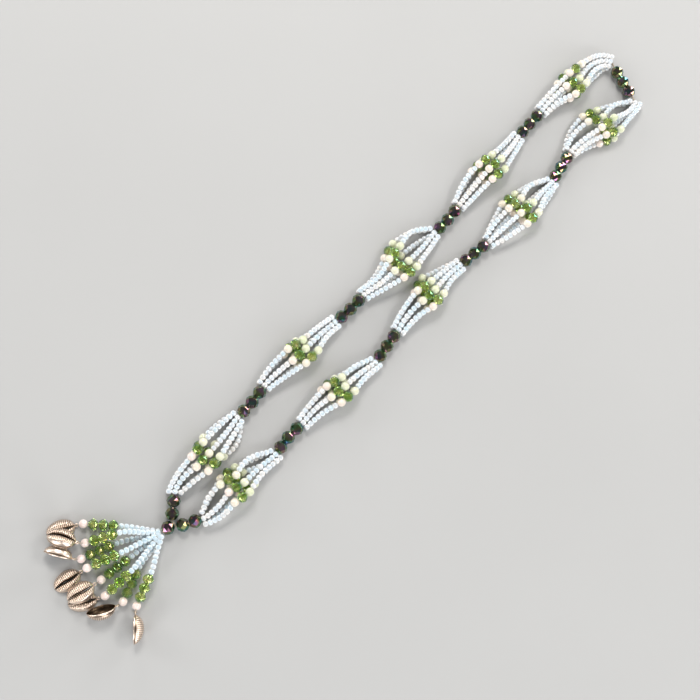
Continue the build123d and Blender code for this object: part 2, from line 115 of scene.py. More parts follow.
# Six strands a lantern, three on the table and three over them, each three from left to
# right: across of the low and the high pearl, along of the crystal, bow of the low and
# the high run, all as shares of crystal_d from the middle of the lantern.
STRANDS = {
    "a1": (
        (-0.54, -0.90, 0.15, -0.10, -0.01),
        (0.37, 0.24, 0.35, -0.42, 0.03),
        (1.22, 1.50, 0.10, -0.19, 0.37),
        (-0.56, -0.63, -0.23, -0.06, -0.00),
        (0.34, 0.40, -0.63, -0.31, 0.01),
        (1.34, 1.28, -0.23, -0.27, -0.16),
    ),
    "a2": (
        (-0.65, -0.84, -0.33, 0.01, 0.28),
        (0.18, -0.02, 0.23, 0.03, 0.02),
        (0.90, 1.14, -0.08, -0.09, -0.50),
        (-0.73, -0.51, 0.08, -0.05, -0.07),
        (0.30, 0.27, -0.28, -0.14, -0.15),
        (1.24, 1.08, 0.50, -0.16, -0.40),
    ),
    "a3": (
        (-1.11, -1.67, 0.05, 0.60, -0.15),
        (-0.27, -0.35, -0.15, 0.31, -0.04),
        (0.63, 1.05, 0.23, 0.03, 0.07),
        (-0.76, -1.02, 0.13, 0.59, -0.59),
        (0.38, 0.50, -0.18, 0.09, -0.01),
        (1.38, 1.39, 0.08, -0.15, -0.24),
    ),
    "a4": (
        (-1.08, -0.94, -0.33, 0.26, 0.30),
        (-0.14, -0.00, 0.10, 0.02, -0.00),
        (0.66, 0.95, -0.33, 0.04, 0.07),
        (-1.00, -0.67, 0.30, -0.18, 0.15),
        (-0.02, 0.21, 0.55, 0.03, 0.05),
        (0.84, 1.09, 0.10, -0.09, -0.15),
    ),
    "a5": (
        (-0.61, -0.68, -0.55, 0.23, -0.09),
        (0.42, 0.38, -0.13, -0.15, -0.43),
        (1.22, 1.40, -0.70, -0.42, -0.10),
        (-0.49, -0.43, 0.65, -0.03, -0.14),
        (0.14, 0.52, -0.55, -0.14, -0.43),
        (1.30, 1.27, -0.50, -0.55, -0.50),
    ),
    "b1": (
        (-1.96, -1.88, -0.05, 0.33, 0.31),
        (-0.83, -1.12, 0.20, 0.47, 0.52),
        (0.19, 0.35, 0.30, 0.11, -0.18),
        (-1.58, -1.32, -0.48, -0.06, -0.56),
        (-0.61, -0.37, -0.35, 0.35, -0.09),
        (0.40, 0.56, -0.55, 0.32, -0.44),
    ),
    "b2": (
        (-1.30, -1.39, -0.40, 0.24, 0.10),
        (-0.43, -0.47, 0.18, -0.01, 0.05),
        (0.54, 0.52, 0.33, -0.16, -0.20),
        (-1.27, -1.10, 0.05, 0.15, -0.16),
        (-0.27, -0.28, -0.25, -0.11, -0.15),
        (0.64, 0.57, 0.20, -0.23, -0.37),
    ),
    "b3": (
        (-1.04, -1.49, 0.13, 0.13, 0.33),
        (-0.16, -0.43, 0.05, 0.04, -0.05),
        (0.82, 0.61, -0.10, -0.16, -0.06),
        (-1.00, -0.70, 0.23, -0.01, 0.09),
        (-0.02, 0.09, -0.15, -0.22, -0.13),
        (1.01, 0.90, 0.18, -0.39, -0.36),
    ),
    "b4": (
        (-1.93, -1.85, -0.05, 0.33, 0.03),
        (-0.57, -0.46, 0.13, -0.01, 0.01),
        (0.42, 0.95, 0.30, 0.06, -0.13),
        (-1.22, -1.17, -0.13, -0.01, -0.48),
        (-0.16, -0.11, 0.43, -0.02, -0.10),
        (0.97, 0.89, 0.13, -0.04, -0.51),
    ),
    "b5": (
        (-1.84, -1.70, -0.43, 0.12, 0.00),
        (0.29, 0.37, -0.08, -0.03, -0.21),
        (1.22, 1.41, -0.35, -0.24, -0.59),
        (-1.08, -0.77, -0.48, -0.05, -0.68),
        (0.09, -0.21, 0.18, 0.00, 0.17),
        (0.87, 1.04, 0.33, -0.19, -0.41),
    ),
}
SLOTS = (-1, 0, 1)

# The two middle points of a seed run: way back from the row as a share of the run, then how
# much of the pearl's place, of the row's slot, of the bow and of the height shows there.
RUN_POINTS = ((0.64, 0.88, 0.12, 1.0, 0.72), (0.28, 0.42, 0.58, 0.6, 0.2))

# Fringe strands: turn at the knot, turn and reach of the seed run, turn of the crystals,
# height of their first and last end over the table. Turns are in degrees from -Y towards
# +X, reaches are shares of fringe_len, heights shares of crystal_d.
FRINGE = {
    "1": (-54, -52.6, 1.06, -48.0, 0.50, 0.50),
    "2": (-44, -43.3, 1.07, -27.7, 1.44, 0.54),
    "3": (-31, -30.5, 1.18, -20.4, 0.50, 0.50),
    "4": (-19.5, -18.1, 1.13, -20.3, 1.30, 0.80),
    "5": (-7, -6.4, 0.98, -6.4, 0.50, 0.50),
    "6": (6, 6.8, 1.21, -0.5, 1.60, 0.66),
    "7": (15, 12.8, 1.04, 21.3, 0.50, 0.50),
    "8": (30, 30.1, 1.03, 22.8, 1.30, 0.50),
}
UPPER = ("2", "4", "6", "8")
knot_r = 10.0

# Charms: turn, pitch and roll in degrees, height of the lowest point over the table as a
# share of charm_w.
CHARMS = {
    "1": (-27, 3, 0, 0.0),
    "2": (-58, 0, -32, 0.50),
    "3": (-60, 0, -80, 0.0),
    "4": (-10, 3, 0, 0.0),
    "5": (-13, 3, 0, 0.50),
    "6": (-34, 3, 0, 0.0),
    "7": (-29, -8, 114, 0.04),
    "8": (45.5, 0, 83, 0.0),
}


def unit(v):
    n = math.sqrt(sum(c * c for c in v))
    return tuple(c / n for c in v)


def add(p, q, k=1.0):
    return tuple(a + k * b for a, b in zip(p, q))


def heading(deg):
    return (math.sin(math.radians(deg)), math.cos(math.radians(deg)))


def downward(deg):
    return (math.sin(math.radians(deg)), -math.cos(math.radians(deg)))


def row(name):
    """Bead centres with headings, and the thread's corner points from low to high."""
    share_x, share_y, turn, count, bend = ROWS[name]
    mid = (share_x * lantern_pitch, share_y * lantern_pitch)
    if count == 1:
        ends = [add(mid, heading(turn), s * (spacer_len / 2 + bead_gap)) for s in (-1, 1)]
        return [(mid, turn)], ends
    if count == 2:
        beads = [(add(mid, heading(turn), s * pitch / 2), turn) for s in (-1, 1)]
        ends = [add(mid, heading(turn), s * (pitch + bead_gap / 2)) for s in (-1, 1)]
        return beads, [ends[0], mid, ends[1]]
    low, high = turn + bend, turn - bend
    gaps = [add(mid, heading(turn), s * pitch / 2) for s in (-1, 1)]
    beads = [
        (add(gaps[0], heading(low), -pitch / 2), low),
        (mid, turn),
        (add(gaps[1], heading(high), pitch / 2), high),
    ]
    reach = spacer_len + bead_gap * 1.5
    ends = [add(gaps[0], heading(low), -reach), add(gaps[1], heading(high), reach)]
    return beads, [ends[0], *gaps, ends[1]]


def row_end(name, side):
    """Point and outward direction in plan where a lantern meets a row of dark beads."""
    beads, corners = row(name)
    if side > 0:
        return corners[-1], heading(beads[-1][1])
    return corners[0], tuple(-c for c in heading(beads[0][1]))


def swung_end(name, side, swing):
    """The same where the lantern comes in at an angle, clear of the end bead."""
    point, out = row_end(name, side)
    turn = math.degrees(math.atan2(*out)) + swing
    off = swing_out * spacer_d * math.sin(math.radians(abs(swing)))
    return add(point, out, off), heading(turn)


class Path:
    """A lantern's curved centre line in plan."""

    def __init__(self, name):
        low, low_side, high, high_side, low_keep, high_keep, swing = LANTERNS[name]
        p0, out0 = row_end(low, low_side)
        p1, out1 = swung_end(high, high_side, swing)
        self.corners = (
            p0,
            add(p0, out0, low_keep * lantern_pitch),
            add(p1, out1, high_keep * lantern_pitch),
            p1,
        )
        self.reached = [0.0]
        last = p0
        for i in range(1, PATH_STEPS + 1):
            here = self.at(i / PATH_STEPS)[0]
            self.reached.append(self.reached[-1] + math.dist(here, last))
            last = here
        self.length = self.reached[-1]

    def at(self, t):
        """Point and unit direction at the parameter t."""
        a, b, c, d = self.corners
        s = 1 - t
        point = tuple(
            s**3 * p + 3 * s * s * t * q + 3 * s * t * t * r + t**3 * u
            for p, q, r, u in zip(a, b, c, d)
        )
        speed = tuple(
            s * s * (q - p) + 2 * s * t * (r - q) + t * t * (u - r)
            for p, q, r, u in zip(a, b, c, d)
        )
        return point, unit(speed)

    def place(self, along, across):
        """Point in plan: along from the middle, across to the right of the line."""
        want = along + self.length / 2
        k = 0
        while k < PATH_STEPS - 1 and self.reached[k + 1] < want:
            k += 1
        part = (want - self.reached[k]) / (self.reached[k + 1] - self.reached[k])
        point, way = self.at((k + part) / PATH_STEPS)
        return point[0] + across * way[1], point[1] - across * way[0]


def triple(path, strand):
    """A strand's crystal and its low and high pearl in plan, in one straight line."""
    low, high, along = (share * crystal_d for share in strand[:3])
    crystal = path.place(along, (low + high) / 2)
    ends = [path.place(along + s * pearl_off, c) for s, c in ((-1, low), (1, high))]
    way = unit((ends[1][0] - ends[0][0], ends[1][1] - ends[0][1]))
    return crystal, add(crystal, way, -pearl_off), add(crystal, way, pearl_off), way


def rise(under, over):
    """Height of one strand's beads over another's where both stand on the same table."""
    way = under[3]
    most = 0.0
    for p, (width, reach) in zip(under, BEADS):
        for q, (width2, reach2) in zip(over, BEADS):
            dx, dy = q[0] - p[0], q[1] - p[1]
            along = abs(dx * way[0] + dy * way[1])
            across = abs(dx * way[1] - dy * way[0])
            need = (width + width2) / 2 + clear
            if reach and reach2:
                if along > crystal_len:
                    continue
                need -= bead_taper * along * crystal_d
                flat = across
            else:
                flat = math.hypot(across, max(0.0, along - (reach + reach2) / 4))
            if flat < need:
                most = max(most, math.sqrt(need * need - flat * flat))
    return most


def strands(name):
    """Every strand's low and high run and pearls as points in space, and its direction."""
    path = Path(name)
    plans = [triple(path, strand) for strand in STRANDS[name]]
    heights = []
    found = []
    half = path.length / 2
    stub = seed_d * 0.6
    for i, (strand, plan) in enumerate(zip(STRANDS[name], plans)):
        z = crystal_d / 2
        if i > 2:
            lifts = [heights[j] + rise(plans[j], plan) for j in range(i)]
            z = max(h for j, h in enumerate(lifts) if h > heights[j] + 0.01 or j < 3)
        heights.append(z)
        z_end = seed_d / 2 + (slot_pitch if i > 2 else 0)
        edge = SLOTS[i % 3] * slot_pitch
        runs = []
        for side, share, bow, pearl in (
            (-1, strand[0], strand[3], plan[1]),
            (1, strand[1], strand[4], plan[2]),
        ):
            across, out = share * crystal_d, bow * crystal_d
            reach = half - side * strand[2] * crystal_d - pearl_off
            run = [(*pearl, z)]
            for back, by_pearl, by_slot, bowed, raised in RUN_POINTS:
                sideways = by_pearl * across + by_slot * edge + bowed * out
                point = path.place(side * (half - back * reach), sideways)
                run.append((*point, z_end + raised * (z - z_end)))
            end = path.place(side * half, edge)
            face = path.at(1 if side > 0 else 0)[1]
            runs.append([*run, (*add(end, face, -side * stub), z_end), (*end, z_end)])
        found.append((runs, [(*plan[1], z), (*plan[2], z)], plan[3]))
    return found


def fringe(name):
    """A fringe strand's tube points, pearl centre and direction."""
    start, turn, reach, way, z_first, z_last = FRINGE[name]
    apex = row("join_bead")[1][0]
    z = seed_d / 2 + (slot_pitch if name in UPPER else 0)
    run = fringe_stones * (crystal_len + fringe_gap) + pearl_d / 2
    fall = (z_last - z_first) * crystal_d / run
    flat = math.sqrt(1 - fall * fall)
    step = (*(c * flat for c in downward(way)), fall)
    end = (*add(apex, downward(turn), reach * fringe_len), z_first * crystal_d)
    out = downward(start)
    tube = [
        (*add(apex, out, knot_r), z),
        (*add(apex, out, knot_r + seed_d), z),
        add(end, step, -seed_d * 1.2),
        end,
    ]
    return tube, add(end, step, run + fringe_gap), step


def roll_pitch_turn(point, name):
    """A point of the charm after its roll about Y, its pitch about X and its turn about Z."""
    turn, tilt, roll = (math.radians(a) for a in CHARMS[name][:3])
    x, y, z = point
    x, z = x * math.cos(roll) + z * math.sin(roll), z * math.cos(roll) - x * math.sin(roll)
    y, z = y * math.cos(tilt) - z * math.sin(tilt), y * math.sin(tilt) + z * math.cos(tilt)
    return x * math.cos(turn) - y * math.sin(turn), x * math.sin(turn) + y * math.cos(turn), z


def charm_skin(name, steps=36):
    """Points of the charm's outside and of its thread loop, turned, the eye at the origin."""
    front, back = charm_front * charm_len, (1 - charm_front) * charm_len
    points = []
    for i in range(steps + 1):
        a = math.pi * i / steps
        radius = charm_w / 2 * math.sin(a)
        y = charm_tip - front + (front if a < math.pi / 2 else back) * math.cos(a)
        if radius < charm_rim:
            continue
        flat = math.sqrt(radius * radius - charm_rim * charm_rim)
        for k in range(steps):
            b = 2 * math.pi * k / steps
            x, z = radius * math.cos(b), radius * math.sin(b)
            if z < charm_rim:
                x, z = math.copysign(flat, x), charm_rim
            points.append((x, y, z - charm_drop))
    for k in range(steps):
        b = 2 * math.pi * k / steps
        reach = loop_r + loop_wire
        points.append((0, loop_shift + reach * math.cos(b), reach * math.sin(b)))
    return [roll_pitch_turn(p, name) for p in points]


def charm_eye(name):
    """Place of a charm's eye, just past the last pearl of its fringe strand."""
    pearl, step = fringe(name)[1:]
    z = CHARMS[name][3] * charm_w - min(p[2] for p in charm_skin(name))
    back = roll_pitch_turn((0, 1, 0), name)
    reach = loop_shift + loop_r
    ahead = unit(add(unit((step[0], step[1])), unit((back[0], back[1])), -1.0))
    tie = add(pearl, (*ahead, 0.0), pearl_d / 2 + bead_gap)
    return tie[0] - back[0] * reach, tie[1] - back[1] * reach, z


# Sizes that only the looks use, mm
MM = 0.001
seed_w = 1.05 * seed_d
seed_len = 3.55
seed_hole = 0.45
seed_square = 0.94  # 1 is an ellipse, less is a squarer bead
pearl_flat = 0.97  # length of a pearl bead as a share of its width
pearl_hole = 0.55
cord_d = 0.5
rib_depth = 0.45

# The route's own frame and the solids' frame, brought together at the join bead
join_low, join_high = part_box("join_bead")
join_mid = row("join_bead")[0][0][0]
OFFSET = Vector(
    (
        (join_low.x + join_high.x) / 2 - join_mid[0] * MM,
        (join_low.y + join_high.y) / 2 - join_mid[1] * MM,
        0,
    )
)


def at(point):
    """A point of the route, in mm, as metres in the frame."""
    return Vector((point[0] * MM, point[1] * MM, point[2] * MM)) + OFFSET


def mesh_object(name, mesh):
    piece = bpy.data.objects.new(name, mesh)
    bpy.context.scene.collection.objects.link(piece)
    return piece


# Materials. A ramp's stops are its places and colours. "tone" is a bead's own shade, on the
# lantern pearls also a painted light tint, and a charm's stored value is its painted shade; both
# are stored on the points.
SEED_BODY = (
    (0.0, (0.42, 0.53, 0.59)),
    (0.5, (0.50, 0.55, 0.60)),
    (1.0, (0.58, 0.56, 0.53)),
)
# Painted rim light: lighter seed colours for skin that turns away from straight up
SEED_PAINTED_RIM_LIGHT = (
    (0.0, (0.74, 0.81, 0.84)),
    (0.5, (0.80, 0.82, 0.83)),
    (1.0, (0.86, 0.80, 0.75)),
)
# Pearl body colours: the greenish low tones and the pinkish high tones also serve as painted light
# tints on the lantern pearls
PEARL_BODY_AND_PAINTED_TINT = (
    (0.0, (0.50, 0.55, 0.34)),
    (0.45, (0.60, 0.60, 0.45)),
    (0.75, (0.68, 0.58, 0.50)),
    (1.0, (0.74, 0.61, 0.57)),
)
# Painted rim light: lighter pearl colours for skin that turns away from straight up
PEARL_PAINTED_RIM_LIGHT = (
    (0.0, (0.71, 0.75, 0.54)),
    (0.45, (0.78, 0.77, 0.63)),
    (0.75, (0.84, 0.75, 0.67)),
    (1.0, (0.90, 0.79, 0.75)),
)
GREEN_GLASS = (
    (0.35, (0.22, 0.40, 0.07)),
    (0.5, (0.47, 0.63, 0.16)),
    (0.65, (0.80, 0.84, 0.34)),
)
DARK_GLASS = (
    (0.35, (0.003, 0.008, 0.005)),
    (0.55, (0.010, 0.026, 0.009)),
    (0.7, (0.032, 0.024, 0.036)),
)
# Champagne metal, then painted shade from dark brown to near black for the slit, the grooves, the
# inside and the line along the rim
SHELL_METAL_AND_PAINTED_SHADE = (
    (0.0, (0.80, 0.66, 0.55)),
    (0.4, (0.58, 0.44, 0.34)),
    (0.8, (0.15, 0.10, 0.065)),
    (1.0, (0.06, 0.04, 0.025)),
)
THREAD_FIBRE = ((0.3, (0.22, 0.17, 0.12)), (0.7, (0.42, 0.36, 0.28)))
TABLETOP = ((0.3, (0.360, 0.357, 0.351)), (0.7, (0.376, 0.373, 0.367)))


def material(name):
    """A new material, its node tree and its shader."""
    made = bpy.data.materials.new(name)
    made.use_nodes = True
    return made, made.node_tree, made.node_tree.nodes["Principled BSDF"]


def set_inputs(node, values):
    """Sets constants on the node's own sockets."""
    for socket, value in values.items():
        node.inputs[socket].default_value = value


def ramp(tree, factor, stops):
    node = tree.nodes.new("ShaderNodeValToRGB")
    elements = node.color_ramp.elements
    for element, (place, colour) in zip(elements, (stops[0], stops[-1])):
        element.position = place
        element.color = (*colour, 1)
    for place, colour in stops[1:-1]:
        elements.new(place).color = (*colour, 1)
    tree.links.new(factor, node.inputs["Fac"])
    return node.outputs["Color"]


def noise(tree, scale, detail=3.0):
    where = tree.nodes.new("ShaderNodeTexCoord")
    node = tree.nodes.new("ShaderNodeTexNoise")
    set_inputs(node, {"Scale": scale, "Detail": detail})
    tree.links.new(where.outputs["Object"], node.inputs["Vector"])
    return node.outputs["Fac"]


def spread(tree, factor, low, high):
    """The factor's 0 to 1 as low to high."""
    node = tree.nodes.new("ShaderNodeMapRange")
    set_inputs(node, {"To Min": low, "To Max": high})
    tree.links.new(factor, node.inputs["Value"])
    return node.outputs["Result"]


def bump(tree, shader, scale, strength, distance):
    """Fine grain on the shader's normal."""
    node = tree.nodes.new("ShaderNodeBump")
    set_inputs(node, {"Strength": strength, "Distance": distance})
    tree.links.new(noise(tree, scale), node.inputs["Height"])
    tree.links.new(node.outputs["Normal"], shader.inputs["Normal"])


def stored(tree, name):
    """A value stored on the points of the mesh."""
    node = tree.nodes.new("ShaderNodeAttribute")
    node.attribute_name = name
    return node.outputs["Fac"]


def upward(tree, low, high):
    """0 on skin that looks sideways or down, 1 on skin that looks up: the mask of the painted rim
    light.
    """
    where = tree.nodes.new("ShaderNodeNewGeometry")
    split = tree.nodes.new("ShaderNodeSeparateXYZ")
    tree.links.new(where.outputs["Normal"], split.inputs["Vector"])
    span = tree.nodes.new("ShaderNodeMapRange")
    span.interpolation_type = "SMOOTHSTEP"
    set_inputs(span, {"From Min": low, "From Max": high})
    tree.links.new(split.outputs["Z"], span.inputs["Value"])
    return span.outputs["Result"]


def blend(tree, factor, first, second):
    node = tree.nodes.new("ShaderNodeMix")
    node.data_type = "RGBA"
    tree.links.new(factor, node.inputs[0])
    tree.links.new(first, node.inputs[6])
    tree.links.new(second, node.inputs[7])
    return node.outputs[2]


def milky_material(name, body, edge, turned, grain, strength, inputs):
    """Glass that light soaks into under a hard gloss, its body colour on top and a painted rim
    light, its lighter edge colour, where the skin turns away."""
    made, tree, shader = material(name)
    top = ramp(tree, stored(tree, "tone"), body)
    # Painted rim light: the edge colours, blended in below where the skin turns away from straight
    # up
    rim = ramp(tree, stored(tree, "tone"), edge)
    tree.links.new(blend(tree, upward(tree, *turned), rim, top), shader.inputs["Base Color"])
    set_inputs(shader, {"IOR": 1.5, "Coat Weight": 1.0, "Coat Roughness": 0.04, **inputs})
    bump(tree, shader, grain, strength, 0.0002)
    return made


def seed_material():
    """Opal glass: cool milky body, warmer where the tone is high, with a painted rim light that
    makes it whiter towards the edge.
    """
    inputs = {
        "Roughness": 0.15,
        "Subsurface Weight": 0.5,
        "Subsurface Radius": (0.9, 1.0, 1.1),
        "Subsurface Scale": 0.0006,
    }
    return milky_material("seed_glass", SEED_BODY, SEED_PAINTED_RIM_LIGHT, (0.45, 0.92), 900, 0.10, inputs)


def pearl_material():
    """Round beads: cream glass, greenish at low tone and pinkish at high tone, with a painted rim
    light towards the edge. On the lantern pearls the tint is painted light: green light through
    the crystals on the high pearls, warm direct light on the low ones.
    """
    inputs = {
        "Roughness": 0.2,
        "Subsurface Weight": 0.45,
        "Subsurface Radius": (1.0, 0.95, 0.8),
        "Subsurface Scale": 0.0010,
    }
    return milky_material("pearl", PEARL_BODY_AND_PAINTED_TINT, PEARL_PAINTED_RIM_LIGHT, (0.35, 0.75), 500, 0.08, inputs)


def green_material():
    """Peridot glass: clear, with darker and yellower patches from bead to bead."""
    made, tree, shader = material("green_crystal")
    tree.links.new(ramp(tree, noise(tree, 170, 1.0), GREEN_GLASS), shader.inputs["Base Color"])
    set_inputs(
        shader,
        {
            "Roughness": 0.01,
            "IOR": 1.6,
            "Transmission Weight": 0.9,
            "Coat Weight": 0.8,
            "Coat Roughness": 0.02,
            "Thin Film Thickness": 430.0,
            "Thin Film IOR": 1.4,
        },
    )
    return made


def dark_material():
    """Near-black green glass with a film whose colour shifts from facet to facet."""
    made, tree, shader = material("dark_crystal")
    tree.links.new(ramp(tree, noise(tree, 170, 1.0), DARK_GLASS), shader.inputs["Base Color"])
    set_inputs(
        shader,
        {
            "Roughness": 0.04,
            "Metallic": 0.12,
            "IOR": 2.0,
            "Coat Weight": 1.0,
            "Coat Roughness": 0.02,
            "Thin Film IOR": 1.5,
        },
    )
    film = spread(tree, noise(tree, 120, 1.0), 260.0, 620.0)
    tree.links.new(film, shader.inputs["Thin Film Thickness"])
    return made


def metal_material():
    """Champagne plating, with painted shade, dark brown to near black, in the recesses, the
    grooves, the slit and the inside.
    """
    made, tree, shader = material("shell_metal")
    tree.links.new(ramp(tree, stored(tree, "painted_shade"), SHELL_METAL_AND_PAINTED_SHADE), shader.inputs["Base Color"])
    set_inputs(shader, {"Metallic": 1.0})
    tree.links.new(spread(tree, noise(tree, 220), 0.24, 0.42), shader.inputs["Roughness"])
    bump(tree, shader, 300, 0.10, 0.0003)
    return made


def thread_material():
    """Fine twisted thread, warm grey brown."""
    made, tree, shader = material("thread")
    tree.links.new(ramp(tree, noise(tree, 700), THREAD_FIBRE), shader.inputs["Base Color"])
    set_inputs(shader, {"Roughness": 0.6})
    bump(tree, shader, 1500, 0.3, 0.0001)
    return made


def floor_material():
    """Plain pale tabletop."""
    made, tree, shader = material("floor")
    tree.links.new(ramp(tree, noise(tree, 3), TABLETOP), shader.inputs["Base Color"])
    set_inputs(shader, {"Roughness": 0.75})
    return made


SEED = seed_material()
PEARL = pearl_material()
GREEN = green_material()
DARK = dark_material()
METAL = metal_material()
THREAD = thread_material()

# Bead and cord meshes


def bead_profile(width, length, hole, corner, count):
    """Half section of a bead with a hole: places along the hole and radii, closed."""
    points = []
    for i in range(count):
        a = math.pi * i / (count - 1)
        reach = math.copysign(abs(math.cos(a)) ** corner, math.cos(a))
        radius = hole + (width / 2 - hole) * math.sin(a) ** corner
        points.append((length / 2 * reach, radius))
    return points


def new_vert(build, place, layer, value):
    vert = build.verts.new(place)
    vert[layer] = value
    return vert


def join_rings(build, rings):
    """Smooth faces between each ring of points and the next."""
    for low, high in zip(rings, rings[1:]):
        for k in range(len(low)):
            n = (k + 1) % len(low)
            build.faces.new((low[k], low[n], high[n], high[k])).smooth = True


def add_bead(build, centre, way, profile, sides, turn, layer, value):
    """Revolves the profile about the thread at the place given, as a closed ring of faces."""
    side = way.cross(Vector((0, 0, 1)))
    if side.length < 1e-6:
        side = Vector((1, 0, 0))
    side.normalize()
    up = side.cross(way).normalized()
    rings = []
    for reach, radius in profile:
        ring = []
        for k in range(sides):
            a = turn + 2 * math.pi * k / sides
            offset = side * (radius * math.cos(a)) + up * (radius * math.sin(a))
            ring.append(new_vert(build, centre + way * reach + offset, layer, value))
        rings.append(ring)
    join_rings(build, rings + rings[:1])


def add_cord(build, layer, points, width, sides=8):
    """Thread through the points, with a flat end at each."""
    rings = []
    for i, here in enumerate(points):
        way = (points[min(i + 1, len(points) - 1)] - points[max(i - 1, 0)]).normalized()
        across = Vector((0, 0, 1)) if abs(way.z) < 0.9 else Vector((1, 0, 0))
        side = way.cross(across).normalized()
        up = side.cross(way)
        ring = []
        for k in range(sides):
            a = 2 * math.pi * k / sides
            place = here + (side * math.cos(a) + up * math.sin(a)) * width / 2
            ring.append(new_vert(build, place, layer, 0.5))
        rings.append(ring)
    join_rings(build, rings)
    build.faces.new(rings[0])
    build.faces.new(rings[-1])


def add_ring(build, layer, place, reach, wire, value, sides=10, turns=32):
    """Wire ring about Z, carried to its place by the matrix given."""
    rings = []
    for i in range(turns):
        a = 2 * math.pi * i / turns
        ring = []
        for k in range(sides):
            b = 2 * math.pi * k / sides
            r = reach + wire * math.cos(b)
            point = Vector((r * math.cos(a), r * math.sin(a), wire * math.sin(b)))
            ring.append(new_vert(build, place @ point, layer, value))
        rings.append(ring)
    join_rings(build, rings + rings[:1])


def curve_points(routes):
    """Points along each route's NURBS spline of order 3, its corners the control points."""
    curve = bpy.data.curves.new("routes", "CURVE")
    curve.dimensions = "3D"
    curve.resolution_u = 24
    for route in routes:
        spline = curve.splines.new("NURBS")
        spline.points.add(len(route) - 1)
        for point, place in zip(spline.points, route):
            point.co = (*at(place), 1)
        spline.order_u = 3
        spline.use_endpoint_u = True
    holder = bpy.data.objects.new("routes", curve)
    bpy.context.scene.collection.objects.link(holder)
    bpy.context.view_layer.update()
    mesh = bpy.data.meshes.new_from_object(holder)
    lines = []
    current = [mesh.vertices[0].co.copy()]
    linked = {tuple(sorted(edge.vertices)) for edge in mesh.edges}
    for i in range(1, len(mesh.vertices)):
        if (i - 1, i) in linked:
            current.append(mesh.vertices[i].co.copy())
        else:
            lines.append(current)
            current = [mesh.vertices[i].co.copy()]
    lines.append(current)
    bpy.data.objects.remove(holder)
    bpy.data.curves.remove(curve)
    bpy.data.meshes.remove(mesh)
    return lines


def along(line, distance):
    """Point and direction at a distance along a line of points."""
    left = distance
    for a, b in zip(line, line[1:]):
        step = (b - a).length
        if left <= step and step > 0:
            return a.lerp(b, left / step), (b - a).normalized()
        left -= step
    last = (line[-1] - line[-2]).normalized()
    return line[-1] + last * left, last


def line_length(line):
    return sum((b - a).length for a, b in zip(line, line[1:]))


SEED_PROFILE = bead_profile(seed_w * MM, seed_len * MM, seed_hole * MM, seed_square, 11)
PEARL_PROFILE = bead_profile(pearl_d * MM, pearl_d * MM * pearl_flat, pearl_hole * MM, 1.0, 15)
SEED_SIDES = 14
PEARL_SIDES = 22
dice = random.Random(7)

# How much one bead differs from the next
SEED_TILT = 0.05
SEED_SIZES = (0.96, 1.02)
SEED_TONES = 0.16
# Tones, 0 cool to 1 warm: a strand's seeds from least to most, pearls as mean and spread
LANTERN_SEEDS, FRINGE_SEEDS = (0.3, 0.75), (0.0, 0.25)
# Lantern pearl tones paint light: warm direct light on the low pearls, green light through the
# crystals on the high ones
LOW_PEARLS_PAINTED_WARM_LIGHT, HIGH_PEARLS_PAINTED_GREEN_LIGHT, FRINGE_PEARLS = (0.72, 0.1), (0.32, 0.12), (0.95, 0.05)


def string_seeds(build, layer, line, start, end, shade):
    """Seed beads side by side on the line from the start to the end distance, each a little
    tilted, larger or smaller and off the shade."""
    count = max(1, round((end - start) / (seed_len * MM)))
    step = (end - start) / count
    for i in range(count):
        here, way = along(line, start + step * (i + 0.5))
        tilt = Vector([dice.gauss(0, SEED_TILT) for _ in range(3)])
        size = dice.uniform(*SEED_SIZES)
        profile = [(a * size, r * size) for a, r in SEED_PROFILE]
        value = min(1.0, max(0.0, shade + dice.gauss(0, SEED_TONES)))
        turn = dice.uniform(0, 1)
        add_bead(build, here, (way + tilt).normalized(), profile, SEED_SIDES, turn, layer, value)


def add_pearl(build, layer, place, way, value):
    add_bead(build, at(place), Vector(way), PEARL_PROFILE, PEARL_SIDES, 0, layer, value)


def new_build(layer="tone"):
    build = bmesh.new()
    return build, build.verts.layers.float.new(layer)


def built_mesh(build, name, look, scale=1.0):
    bmesh.ops.recalc_face_normals(build, faces=build.faces)
    if scale != 1.0:
        bmesh.ops.scale(build, vec=(scale, scale, scale), verts=build.verts)
    mesh = bpy.data.meshes.new(name)
    build.to_mesh(mesh)
    build.free()
    mesh.materials.append(look)
    return mesh


def finish_build(build, name, look, node):
    piece = mesh_object(name, built_mesh(build, name, look))
    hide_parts(node)
    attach(piece, "root")


# Shell charms: the section's angles in degrees, over the outside from the rim to the slit and
# back along the inside
OUTSIDE = (
    2, 6, 10, 14, 18, 23, 29, 36, 44, 52, 60, 68, 76, 84, 92, 101, 110, 120, 131, 143, 156, 170,
)
INSIDE = (170, 150, 125, 100, 75, 50, 25, 0)
RIBBED_FROM = {-1: 22, 1: 58}  # degrees, for each lip
RIB_RAMP = 14  # degrees over which the ribs come in
# The rim line and the slit get painted shade
RIM_AT, RIM_WIDTH = 14, 5  # degrees, the dark line along the rim
RECESS_FROM, RECESS_RAMP = 118, 40  # degrees, the dark of the slit
CREST = 0.42  # of the half width, where the shell is highest
CURL = 0.42  # of the height, how far the lip turns down to the slit
WALL, WALL_SHARE = 1.0, 0.4  # mm, and at most this share of the half width
CHARM_STEPS = 150  # sections from tip to tip
TIP_SKIP = 0.03  # share of the half turn left out at each tip
SWAY = 0.05  # of the half width, how far the slit winds to each side
SLIT_ENDS, SLIT_MIDDLE = 0.1, 0.3  # mm, half the slit's width
SLIT_FULL = 3.0  # mm of half width under which the slit narrows
CHARM_RIBS = 14
RIB_FROM, RIB_SPAN, RIB_TO, RIB_FADE = 0.05, 0.92, 0.96, 0.06  # shares of the charm's length
RIM_LIFT = 0.15  # mm that the edge turns in under the rim
# Painted shade in the grooves between ribs
GROOVE_PAINTED_SHADE = 0.72  # how dark a groove between ribs gets


